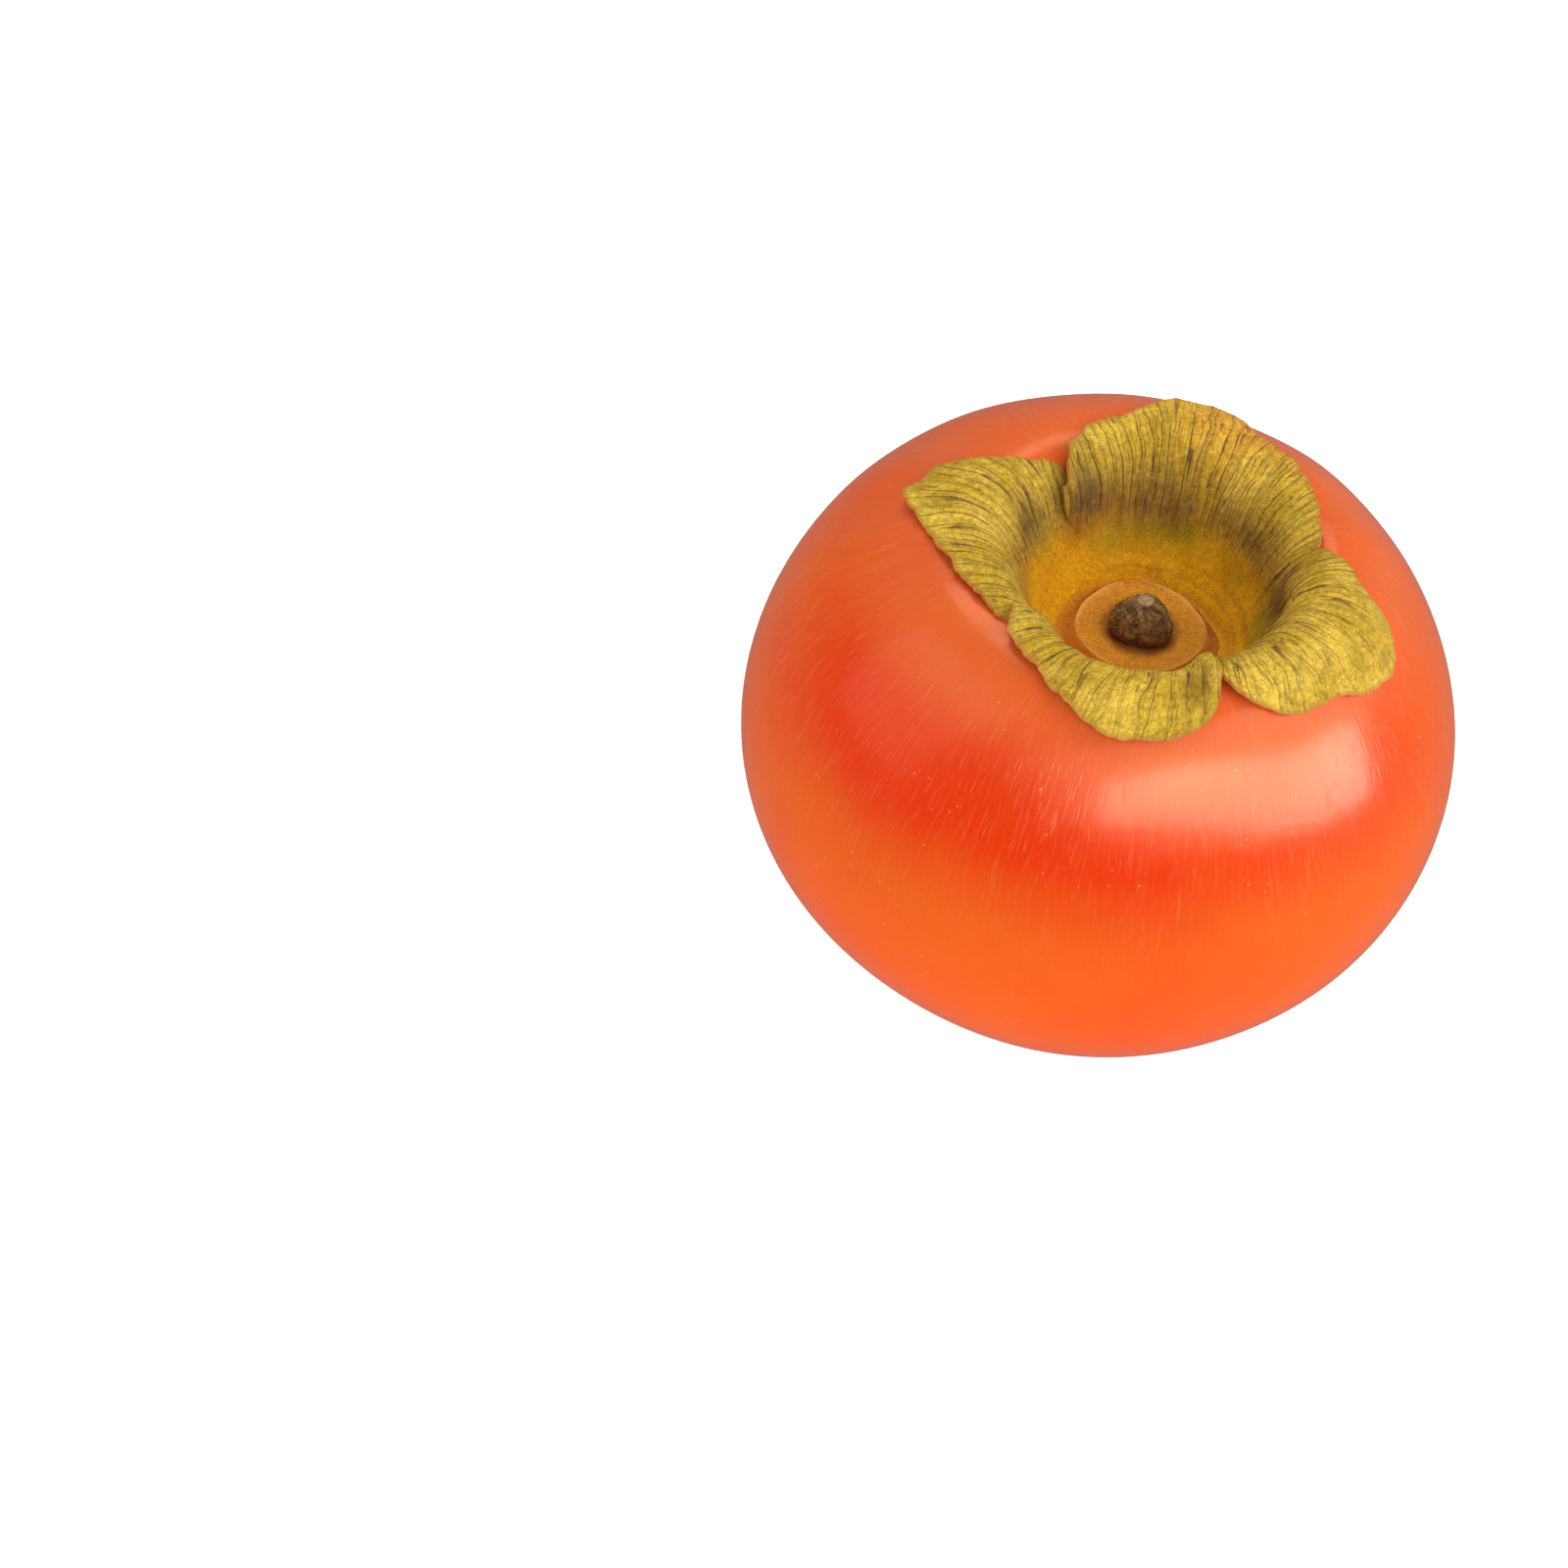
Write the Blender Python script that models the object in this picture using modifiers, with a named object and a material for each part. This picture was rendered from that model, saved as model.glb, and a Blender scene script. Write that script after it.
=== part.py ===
"""A ripe kaki persimmon, as picked, standing on its base.

Metres, +Z up. The origin is on the table, under the middle of the fruit. The calyx cup sits a little
off that middle, so the fruit's top and the four sepals are drawn straight and then shifted together.
"""

import math

import bmesh
import bpy
import numpy as np

# The fruit
FRUIT_RADIUS = 0.038
SHOULDER_HEIGHT = 0.0566
SHOULDER_RADIUS = 0.0190
CUP_FLOOR_HEIGHT = 0.0424
CUP_FLOOR_RADIUS = 0.0065
FOOT_RADIUS = 0.0091
DIMPLE_RADIUS = 0.0052
DIMPLE_DEPTH = 0.0014
FRUIT_STEPS = 60

# The (radius, height) corners that pull the cup's wall and the fruit's side into their curves
WALL_PULLS = [(0.0140, CUP_FLOOR_HEIGHT), (0.0126, SHOULDER_HEIGHT)]
SIDE_PULLS = [(0.0304, SHOULDER_HEIGHT), (0.0486, 0.0317), (0.0475, 0.0041), (0.0095, 0.0)]

# Where the cup sits, beside the fruit's own axis, and how far out that shift fades
CALYX_OFFSET = (0.0030, -0.0026)
OFFSET_FULL_RADIUS = 0.013
OFFSET_END_RADIUS = 0.033

# The calyx
CLEARANCE = 0.0003
DISC_RADIUS = 0.0079
DISC_FLOOR_HEIGHT = 0.0442
DISC_EDGE_RISE = 0.0004
DISC_EDGE_DROP = 0.0006
PAD_RADIUS = 0.0069
PAD_HEIGHT = 0.0462
PAD_ROUNDING = 0.0004
SEPAL_THICKNESS = 0.0008
SEPAL_ROOT = 0.0102
SEPAL_ROOT_LIFT = 0.0010
SEPAL_CREST_LIFT = 0.0016
SEPAL_EDGE_LIFT = 0.0009
SEPAL_CREST = 0.0220
SEPAL_COLUMNS = 16
SEPAL_ROWS = 11

# The cut stem and the dry tip of the flower
STUB_RADIUS = 0.0033
STUB_FOOT_RADIUS = 0.0036
STUB_FOOT_HEIGHT = 0.0008
STUB_TOP_RADIUS = 0.0028
STUB_TOP_HEIGHT = 0.0496
STUB_ROUNDING = 0.0009
STYLE_RADIUS = 0.0008
STYLE_TIP_HEIGHT = 0.0003

# Each sepal's edge: the direction in degrees, and the distance from the cup's centre along the skin
SEPAL_EDGES = {
    "sepal_back": [(16, 0.0248), (29, 0.0263), (47, 0.0278), (66, 0.0293), (82, 0.0311), (103, 0.0272),
                   (121, 0.0255), (131, 0.0238)],
    "sepal_left": [(132, 0.0237), (143, 0.0254), (155, 0.0276), (165, 0.0302), (175, 0.0311),
                   (190, 0.0288), (208, 0.0271), (221, 0.0264), (229, 0.0261)],
    "sepal_front": [(231, 0.0266), (249, 0.0292), (260, 0.0314), (271, 0.0337), (283, 0.0339),
                    (291, 0.0328), (295, 0.0306)],
    "sepal_right": [(296, 0.0270), (302, 0.0300), (312, 0.0334), (324, 0.0346), (335, 0.0370),
                    (346, 0.0363), (357, 0.0292), (375, 0.0248)],
}


def clear_scene():
    for thing in list(bpy.data.objects):
        bpy.data.objects.remove(thing, do_unlink=True)


def make_material(name, color, roughness):
    material = bpy.data.materials.new(name)
    material.use_nodes = True
    shader = material.node_tree.nodes["Principled BSDF"]
    shader.inputs["Base Color"].default_value = (*color, 1.0)
    shader.inputs["Roughness"].default_value = roughness
    shader.inputs["Metallic"].default_value = 0.0
    material.diffuse_color = (*color, 1.0)
    return material


def place(name, mesh, collection, material):
    thing = bpy.data.objects.new(name, mesh)
    thing.data.materials.append(material)
    collection.objects.link(thing)
    return thing


def bezier(corners, steps):
    """Points along the smooth curve that these corners pull, in the (radius, height) plane."""
    t = np.linspace(0.0, 1.0, steps)[:, None]
    last = len(corners) - 1
    return sum(
        math.comb(last, i) * t**i * (1 - t) ** (last - i) * np.array(corner)
        for i, corner in enumerate(corners)
    )


def skin_profile(wall_steps, side_steps):
    """The skin from the cup's centre, up its wall, over the shoulder and down to the flat foot."""
    shoulder = (SHOULDER_RADIUS, SHOULDER_HEIGHT)
    wall = bezier([(CUP_FLOOR_RADIUS, CUP_FLOOR_HEIGHT), *WALL_PULLS, shoulder], wall_steps)
    side = bezier([shoulder, *SIDE_PULLS, (FOOT_RADIUS, 0.0)], side_steps)
    side[:, 0] = np.minimum(side[:, 0], FRUIT_RADIUS)
    return np.vstack([[(0.0, CUP_FLOOR_HEIGHT)], wall, side[1:]])


def foot_profile():
    """The flat ring that the fruit stands on, and the dimple at the flower end."""
    return np.array([
        (DIMPLE_RADIUS, 0.0),
        (0.75 * DIMPLE_RADIUS, 0.45 * DIMPLE_DEPTH),
        (0.45 * DIMPLE_RADIUS, 0.9 * DIMPLE_DEPTH),
        (0.0, DIMPLE_DEPTH),
    ])


def turned(name, profile, steps, collection, material):
    """A profile on +X, top to bottom, turned about Z into one closed mesh."""
    mesh = bpy.data.meshes.new(name)
    edges = [(i, i + 1) for i in range(len(profile) - 1)]
    mesh.from_pydata([(radius, 0.0, height) for radius, height in profile], edges, [])
    thing = place(name, mesh, collection, material)
    screw = thing.modifiers.new("turn", "SCREW")
    screw.axis = "Z"
    screw.steps = steps
    screw.render_steps = steps
    screw.use_merge_vertices = True
    screw.merge_threshold = 0.00001
    return thing


def applied(thing):
    """The object with its modifiers made part of its mesh."""
    graph = bpy.context.evaluated_depsgraph_get()
    mesh = bpy.data.meshes.new_from_object(thing.evaluated_get(graph))
    thing.modifiers.clear()
    old = thing.data
    thing.data = mesh
    bpy.data.meshes.remove(old)
    return thing


def offset_share(radius):
    """1 inside the cup, fading smoothly to 0 on the fruit's side."""
    share = (OFFSET_END_RADIUS - radius) / (OFFSET_END_RADIUS - OFFSET_FULL_RADIUS)
    share = min(max(share, 0.0), 1.0)
    return share * share * (3 - 2 * share)


def shifted(x, y):
    share = offset_share(math.hypot(x, y))
    return x + share * CALYX_OFFSET[0], y + share * CALYX_OFFSET[1]


def make_fruit(collection):
    profile = np.vstack([skin_profile(13, 27), foot_profile()])
    material = make_material("persimmon_skin", (0.89, 0.12, 0.012), 0.28)
    fruit = applied(turned("fruit", profile, FRUIT_STEPS, collection, material))
    for vertex in fruit.data.vertices:
        if vertex.co.z > CUP_FLOOR_HEIGHT - CLEARANCE:
            vertex.co.x, vertex.co.y = shifted(vertex.co.x, vertex.co.y)
    fruit.data.shade_smooth()
    return fruit


def make_disc(collection):
    """The cupped centre of the calyx, with the raised pad that holds the stem."""
    bottom = CUP_FLOOR_HEIGHT + CLEARANCE
    profile = [
        (0.0, PAD_HEIGHT),
        (0.75 * PAD_RADIUS, PAD_HEIGHT),
        (0.93 * PAD_RADIUS, PAD_HEIGHT - PAD_ROUNDING),
        (PAD_RADIUS, DISC_FLOOR_HEIGHT + DISC_EDGE_RISE),
        (DISC_RADIUS, DISC_FLOOR_HEIGHT + DISC_EDGE_RISE),
        (DISC_RADIUS, DISC_FLOOR_HEIGHT - DISC_EDGE_DROP),
        (0.80 * DISC_RADIUS, bottom),
        (0.0, bottom),
    ]
    material = make_material("calyx_centre", (0.38, 0.20, 0.03), 0.75)
    disc = applied(turned("calyx_disc", profile, 40, collection, material))
    disc.location = (*CALYX_OFFSET, 0.0)
    disc.data.shade_smooth()
    return disc


class Skin:
    """Looks up the fruit's top surface by the distance walked from the cup's centre."""

    def __init__(self):
        self.points = skin_profile(120, 240)
        walked = np.hypot(*np.diff(self.points, axis=0).T)
        self.distance = np.concatenate([[0.0], np.cumsum(walked)])

    def at(self, distance):
        return np.array([np.interp(distance, self.distance, self.points[:, i]) for i in (0, 1)])

    def lifted(self, distance, lift):
        """The point above the skin at this distance, moved out along the skin's normal."""
        reach = 0.001
        along = self.at(distance + reach) - self.at(distance - reach)
        along /= np.hypot(*along)
        return self.at(distance) + lift * np.array([-along[1], along[0]])


def sepal_lift(distance, edge):
    """How high a sepal's middle surface rides: highest where it bends out of the cup."""
    if distance < SEPAL_CREST:
        share = (distance - SEPAL_ROOT) / (SEPAL_CREST - SEPAL_ROOT)
        low = SEPAL_ROOT_LIFT
    else:
        share = (edge - distance) / max(edge - SEPAL_CREST, 1e-6)
        low = SEPAL_EDGE_LIFT
    return low + (SEPAL_CREST_LIFT - low) * math.sin(0.5 * math.pi * share)


def make_sepal(name, skin, collection, material):
    """A leaf from the disc's rim, up the cup's wall and out over the shoulder."""
    angles, edges = np.array(SEPAL_EDGES[name]).T
    angles = np.radians(angles)
    sheet = bmesh.new()
    bmesh.ops.create_grid(sheet, x_segments=SEPAL_COLUMNS, y_segments=SEPAL_ROWS, size=1.0)
    for vertex in sheet.verts:
        across = 0.5 + 0.5 * vertex.co.x
        out = 0.5 + 0.5 * vertex.co.y
        angle = angles[0] + (angles[-1] - angles[0]) * across
        edge = float(np.interp(angle, angles, edges))
        distance = SEPAL_ROOT + (edge - SEPAL_ROOT) * out
        radius, height = skin.lifted(distance, sepal_lift(distance, edge))
        inset = CLEARANCE * (1 - 2 * across) / radius
        x, y = shifted(radius * math.cos(angle + inset), radius * math.sin(angle + inset))
        vertex.co = (x, y, height)
    mesh = bpy.data.meshes.new(name)
    sheet.to_mesh(mesh)
    sheet.free()
    mesh.shade_smooth()
    sepal = place(name, mesh, collection, material)
    leaf = sepal.modifiers.new("leaf", "SOLIDIFY")
    leaf.thickness = SEPAL_THICKNESS
    leaf.offset = 0.0
    return sepal


def make_stub(collection):
    """The short woody stem, cut across and a little tapered."""
    bottom = PAD_HEIGHT + CLEARANCE
    profile = [
        (0.0, STUB_TOP_HEIGHT),
        (0.7 * STUB_TOP_RADIUS, STUB_TOP_HEIGHT - 0.1 * STUB_ROUNDING),
        (STUB_TOP_RADIUS, STUB_TOP_HEIGHT - STUB_ROUNDING),
        (STUB_RADIUS, 0.5 * (bottom + STUB_TOP_HEIGHT)),
        (STUB_FOOT_RADIUS, bottom + STUB_FOOT_HEIGHT),
        (STUB_RADIUS, bottom),
        (0.0, bottom),
    ]
    material = make_material("stem_bark", (0.10, 0.055, 0.035), 0.85)
    stub = applied(turned("stem_stub", profile, 24, collection, material))
    stub.location = (*CALYX_OFFSET, 0.0)
    stub.data.shade_smooth()
    return stub


def make_style(collection):
    """The dry remnant of the flower's style, hanging in the dimple clear of the table."""
    top = DIMPLE_DEPTH - CLEARANCE
    profile = [
        (0.0, top),
        (STYLE_RADIUS, top - 0.0001),
        (0.6 * STYLE_RADIUS, 0.5 * (top + STYLE_TIP_HEIGHT)),
        (0.0, STYLE_TIP_HEIGHT),
    ]
    material = make_material("dry_style", (0.05, 0.03, 0.02), 0.9)
    style = applied(turned("style_tip", profile, 12, collection, material))
    style.data.shade_smooth()
    return style


def main():
    clear_scene()
    collection = bpy.data.collections.new("persimmon")
    bpy.context.scene.collection.children.link(collection)
    make_fruit(collection)
    make_disc(collection)
    skin = Skin()
    sepal_material = make_material("sepal_leaf", (0.30, 0.26, 0.06), 0.7)
    for name in SEPAL_EDGES:
        make_sepal(name, skin, collection, sepal_material)
    make_stub(collection)
    make_style(collection)


main()
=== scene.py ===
"""A ripe kaki persimmon with its lobed calyx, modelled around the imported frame."""

import math

import bmesh
import bpy
import numpy as np
from mathutils import Matrix, Vector, noise


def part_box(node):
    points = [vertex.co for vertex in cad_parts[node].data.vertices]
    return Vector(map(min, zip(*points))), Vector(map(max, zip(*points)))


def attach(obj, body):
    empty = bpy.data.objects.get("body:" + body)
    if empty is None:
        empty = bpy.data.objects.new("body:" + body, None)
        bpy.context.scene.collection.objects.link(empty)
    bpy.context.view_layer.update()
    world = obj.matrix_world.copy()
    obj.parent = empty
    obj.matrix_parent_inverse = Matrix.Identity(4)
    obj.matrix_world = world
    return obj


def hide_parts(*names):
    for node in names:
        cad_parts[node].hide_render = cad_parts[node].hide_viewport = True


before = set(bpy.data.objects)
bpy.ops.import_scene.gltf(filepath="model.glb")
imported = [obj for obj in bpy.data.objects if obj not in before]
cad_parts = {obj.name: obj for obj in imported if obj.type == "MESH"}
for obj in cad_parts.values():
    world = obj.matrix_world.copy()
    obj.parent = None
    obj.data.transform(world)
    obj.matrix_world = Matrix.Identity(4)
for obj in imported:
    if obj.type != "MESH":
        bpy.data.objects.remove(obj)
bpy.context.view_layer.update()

bl_info = {
    "name": "Persimmon",
    "version": (1, 0, 0),
    "blender": (4, 5, 0),
    "location": "View3D > Sidebar > Persimmon",
    "description": "Builds a ripe persimmon: skin, calyx disc, four sepals, stem stub, dry style and a stage",
    "category": "Object",
}

MM = 0.001
VEIN_GAP = 1.45  # millimetres between the sepals' main veins

# Places and sizes that come from the frame
FRUIT_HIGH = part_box("fruit")[1]
DISC_LOW, DISC_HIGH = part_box("calyx_disc")
STUB_LOW, STUB_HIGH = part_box("stem_stub")
STYLE_LOW, STYLE_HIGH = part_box("style_tip")
RADIUS = FRUIT_HIGH.x
SHOULDER = FRUIT_HIGH.z
CALYX = Vector(((STUB_LOW.x + STUB_HIGH.x) / 2, (STUB_LOW.y + STUB_HIGH.y) / 2, 0.0))
CUP_FLOOR = DISC_LOW.z - 0.3 * MM
CUP_FLOOR_RADIUS = 6.5 * MM
SHOULDER_RADIUS = RADIUS / 2
FOOT_RADIUS = 9.1 * MM
DIMPLE_RADIUS = 5.2 * MM
DIMPLE_DEPTH = 1.4 * MM

# The calyx sits beside the fruit's axis; its shift fades out between these radii
SHIFT_FULL = 13 * MM
SHIFT_END = 33 * MM

# The calyx, by the distance walked along the skin from the cup's centre
DISC_EDGE = 9.6 * MM
CREST = 24 * MM
LEAF_SCALE = 22.0

# Each sepal: where its root starts and ends in degrees, how far its free sides reach over their
# neighbours, how high those sides and its margin ride, and its edge as (degrees, millimetres)
SEPALS = {
    "sepal_back": {
        "span": (15.5, 131.5), "over": (0.0, 6.5), "sides": (0.2, 1.5), "margin": 0.8,
        "edge": [(10, 24.0), (16, 24.8), (29, 26.3), (47, 27.8), (64, 29.5), (76, 31.2), (86, 30.2), (103, 27.4),
                 (121, 25.6), (131, 24.0), (137, 22.0)],
    },
    "sepal_left": {
        "span": (131.5, 230.0), "over": (0.0, 0.0), "sides": (-0.5, -0.3), "margin": 0.8,
        "edge": [(128, 22.6), (132, 23.7), (143, 25.4), (155, 27.6), (165, 30.2), (170, 30.7), (174, 31.6),
                 (178, 31.0), (190, 28.8), (208, 27.1), (221, 26.4), (230, 25.6)],
    },
    "sepal_front": {
        "span": (230.0, 295.5), "over": (6.0, 0.0), "sides": (0.9, 1.6), "margin": 1.0,
        "edge": [(224, 25.0), (231, 26.8), (249, 29.2), (260, 31.4), (271, 33.7), (283, 33.9), (290, 33.0),
                 (294, 31.0), (296, 27.5)],
    },
    "sepal_right": {
        "span": (295.5, 375.5), "over": (0.0, 0.0), "sides": (0.9, 0.0), "margin": 0.7,
        "edge": [(295, 26.0), (298, 27.8), (303, 30.4), (312, 33.6), (324, 34.6), (335, 37.0), (343, 37.4),
                 (349, 35.0), (357, 29.2), (366, 26.6), (376, 24.6)],
    },
}


class PersimmonSettings(bpy.types.PropertyGroup):
    """The sizes and colours that a user would change"""

    leaf_thickness: bpy.props.FloatProperty(
        name="Leaf thickness", description="Thickness of a sepal", default=0.45 * MM, min=0.0001,
        unit="LENGTH",
    )
    vein_depth: bpy.props.FloatProperty(
        name="Vein depth", description="Depth of the veins pressed into a sepal", default=0.16 * MM,
        min=0.0, unit="LENGTH",
    )
    skin_orange: bpy.props.FloatVectorProperty(
        name="Skin orange", description="The skin's main colour", default=(0.86, 0.112, 0.002),
        size=3, min=0.0, max=1.0, subtype="COLOR",
    )
    # Skin red is the skin's own deeper tone and also the colour of the painted shade band below the highlight.
    skin_red: bpy.props.FloatVectorProperty(
        name="Skin red", description="The skin's deeper colour on the shoulder", default=(0.84, 0.038, 0.001),
        size=3, min=0.0, max=1.0, subtype="COLOR",
    )
    leaf_green: bpy.props.FloatVectorProperty(
        name="Leaf green", description="The sepals' outer colour", default=(0.58, 0.36, 0.020),
        size=3, min=0.0, max=1.0, subtype="COLOR",
    )
    cup_gold: bpy.props.FloatVectorProperty(
        name="Cup gold", description="The colour inside the calyx cup", default=(0.84, 0.40, 0.001),
        size=3, min=0.0, max=1.0, subtype="COLOR",
    )
    vein_brown: bpy.props.FloatVectorProperty(
        name="Vein brown", description="The colour of the sepals' veins", default=(0.11, 0.042, 0.018),
        size=3, min=0.0, max=1.0, subtype="COLOR",
    )
    pad_tan: bpy.props.FloatVectorProperty(
        name="Pad tan", description="The colour of the felted pad round the stem", default=(0.72, 0.27, 0.020),
        size=3, min=0.0, max=1.0, subtype="COLOR",
    )
    bark_brown: bpy.props.FloatVectorProperty(
        name="Bark brown", description="The stem's colour", default=(0.10, 0.045, 0.014),
        size=3, min=0.0, max=1.0, subtype="COLOR",
    )
    floor_color: bpy.props.FloatVectorProperty(
        name="Floor", description="The floor's colour", default=(0.93, 0.93, 0.93),
        size=3, min=0.0, max=1.0, subtype="COLOR",
    )
    light_power: bpy.props.FloatProperty(
        name="Light", description="Share of the studio lights' usual power", default=1.0, min=0.0,
        subtype="FACTOR",
    )
    view_elevation: bpy.props.FloatProperty(
        name="View elevation", description="How far above level the camera stands", default=math.radians(46.0),
        subtype="ANGLE",
    )
    view_distance: bpy.props.FloatProperty(
        name="View distance", description="From the camera to the middle of the fruit", default=0.2843,
        unit="LENGTH",
    )


# ---------------------------------------------------------------- shape helpers


def bezier(corners, steps):
    """Points along the smooth curve that these corners pull, in the (radius, height) plane."""
    t = np.linspace(0.0, 1.0, steps)[:, None]
    last = len(corners) - 1
    return sum(
        math.comb(last, i) * t**i * (1 - t) ** (last - i) * np.array(corner)
        for i, corner in enumerate(corners)
    )


def smooth(value, low, high):
    """0 below low, 1 above high, eased between; low may be the larger one."""
    share = np.clip((np.asarray(value, float) - low) / (high - low), 0.0, 1.0)
    return share * share * (3 - 2 * share)


def bump_at(value, middle, width):
    return np.exp(-(((np.asarray(value, float) - middle) / width) ** 2))


def through(values, points):
    """A smooth line through (place, height) points, read at each value."""
    places, heights = np.array(points, float).T
    slopes = np.gradient(heights, places)
    i = np.clip(np.searchsorted(places, values) - 1, 0, len(places) - 2)
    gap = places[i + 1] - places[i]
    t = np.clip((values - places[i]) / gap, 0.0, 1.0)
    return (
        heights[i] * (2 * t**3 - 3 * t**2 + 1)
        + heights[i + 1] * (3 * t**2 - 2 * t**3)
        + gap * slopes[i] * (t**3 - 2 * t**2 + t)
        + gap * slopes[i + 1] * (t**3 - t**2)
    )


def noise_at(points, scale, seed=0.0):
    """Smooth noise from -1 to 1 at each row of points, in metres."""
    return np.array([noise.noise(Vector(point) * scale + Vector((seed, seed, seed))) for point in points])


class Skin:
    """The fruit's turned profile, looked up by the distance walked from the cup's centre."""

    def __init__(self):
        wall = bezier(
            [
                (CUP_FLOOR_RADIUS, CUP_FLOOR),
                (14.0 * MM, CUP_FLOOR),
                (12.6 * MM, SHOULDER),
                (SHOULDER_RADIUS, SHOULDER),
            ],
            200,
        )
        side = bezier(
            [
                (SHOULDER_RADIUS, SHOULDER),
                (0.80 * RADIUS, SHOULDER),
                (48.6 * MM, 0.56 * SHOULDER),
                (47.5 * MM, 4.1 * MM),
                (9.5 * MM, 0.0),
                (FOOT_RADIUS, 0.0),
            ],
            600,
        )
        side[:, 0] = np.minimum(side[:, 0], RADIUS)
        foot = bezier(
            [
                (DIMPLE_RADIUS, 0.0),
                (0.7 * DIMPLE_RADIUS, 0.0),
                (0.6 * DIMPLE_RADIUS, DIMPLE_DEPTH),
                (0.0, DIMPLE_DEPTH),
            ],
            40,
        )
        self.points = np.vstack([[(0.0, CUP_FLOOR)], wall, side[1:], foot])
        steps = np.hypot(*np.diff(self.points, axis=0).T)
        self.distance = np.concatenate([[0.0], np.cumsum(steps)])
        self.length = self.distance[-1]

    def at(self, distance):
        return np.stack([np.interp(distance, self.distance, self.points[:, i]) for i in (0, 1)], axis=-1)

    def lifted(self, distance, lift):
        """(radius, height) above the skin, moved out along the skin's normal."""
        reach = 0.4 * MM
        along = self.at(np.asarray(distance) + reach) - self.at(np.asarray(distance) - reach)
        along = along / np.maximum(np.hypot(along[..., 0], along[..., 1]), 1e-9)[..., None]
        normal = np.stack([-along[..., 1], along[..., 0]], axis=-1)
        return self.at(distance) + np.asarray(lift)[..., None] * normal


SKIN = Skin()


def over_skin(angle, distance, lift):
    """Points above the skin, with the calyx's shift beside the fruit's axis."""
    place = SKIN.lifted(distance, lift)
    radius = np.maximum(place[:, 0], 0.0)
    share = smooth(radius, SHIFT_END, SHIFT_FULL) * (place[:, 1] > 0.3 * SHOULDER)
    return np.stack(
        [
            radius * np.cos(angle) + share * CALYX.x,
            radius * np.sin(angle) + share * CALYX.y,
            place[:, 1],
        ],
        axis=-1,
    )


def finish_mesh(name, sheet):
    mesh = bpy.data.meshes.new(name)
    sheet.to_mesh(mesh)
    sheet.free()
    mesh.shade_smooth()
    piece = bpy.data.objects.new(name, mesh)
    bpy.context.scene.collection.objects.link(piece)
    return piece


def apply_modifiers(piece):
    graph = bpy.context.evaluated_depsgraph_get()
    mesh = bpy.data.meshes.new_from_object(piece.evaluated_get(graph))
    old = piece.data
    piece.modifiers.clear()
    piece.data = mesh
    bpy.data.meshes.remove(old)
    return piece


def move_all(sheet, points):
    for vertex, point in zip(sheet.verts, points):
        vertex.co = point


def places(sheet):
    return np.array([vertex.co for vertex in sheet.verts])


def settle(piece, node, material):
    piece.data.materials.clear()
    piece.data.materials.append(material)
    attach(piece, "root")
    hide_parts(node)


# ---------------------------------------------------------------- calyx relief, in millimetres


def pad_outline(angle):
    """The felted pad's radius in millimetres, a softly cornered ring."""
    return 7.3 + 0.34 * np.cos(3 * angle + 0.9) + 0.26 * np.cos(4 * angle - 0.6) + 0.16 * np.cos(7 * angle)


def calyx_relief(angle, walked):
    """How high the calyx's upper face stands above the skin, from the stem out to the crest."""
    rim = pad_outline(angle)
    inside = smooth(walked, rim + 0.7, rim - 0.3)
    floor = through(walked, [(0, 1.9), (8, 1.9), (9.6, 1.75), (12, 1.5), (16, 1.3), (20, 1.4), (24, 1.45), (60, 1.45)])
    floor = floor - 1.8 * front_dip(angle, walked)
    pad = 1.75 + 0.10 * walked / 7.0 - 0.45 * bump_at(walked, 0.0, 3.6)
    lip = 0.34 * bump_at(walked, rim - 0.55, 0.42)
    crumple = 0.16 * np.sin(7 * angle + 0.9 * walked) + 0.13 * np.sin(13 * angle - 0.55 * walked + 1.0)
    floor = floor + crumple * bump_at(walked, 15.0, 4.5)
    fold_side = smooth(np.cos(angle - math.radians(45)), -0.5, 0.4)
    fold = 0.42 * bump_at(walked, rim + 2.0, 0.55) * fold_side
    outer_fold = 0.22 * bump_at(walked, rim + 4.2, 0.7) * smooth(np.cos(angle - math.radians(70)), -0.2, 0.6)
    return floor + inside * pad + lip + fold + outer_fold


def front_dip(angle, walked):
    """Where the hollow's front rim is lower, from 0 to 1; the skin and the calyx both follow it."""
    turns = np.mod(np.degrees(angle), 360.0)
    return bump_at(turns, 268.0, 30.0) * bump_at(walked, 21.0, 5.0)


def sepal_relief(angle, walked, edge, sepal):
    """The same height for a sepal, with its lobe, folds, pockets and curled sides."""
    degrees = np.degrees(angle)
    first, last = sepal["span"]
    out = smooth(walked, edge - 8.0, edge)
    lift = calyx_relief(angle, walked)
    lift = lift + (sepal["margin"] - 1.45) * smooth(walked, edge - 5.0, edge) * smooth(walked, 20.0, 24.0)
    wrinkle = np.sin(26 * angle + 2.2 * np.sin(3 * angle) + 0.25 * walked)
    wrinkle = wrinkle + 0.6 * np.sin(41 * angle - 0.3 * walked)
    lift = lift + 0.13 * wrinkle * bump_at(walked, 19.5, 5.0) * smooth(walked, 11.0, 15.0)
    lift = lift + 0.05 * wrinkle * out
    lift = lift + 0.20 * np.sin(9 * angle + 0.8) * out + 0.12 * np.sin(17 * angle) * out
    free = smooth(walked, 15.5, 23.0)
    lift = lift + sepal["sides"][0] * smooth(degrees, first + 13.0, first - 1.0) * free
    lift = lift + sepal["sides"][1] * smooth(degrees, last - 13.0, last + 3.0) * free
    for middle, place, wide, long, deep in POCKETS:
        lift = lift - deep * bump_at(degrees, middle, wide) * bump_at(walked, place, long)
    return lift


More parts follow.
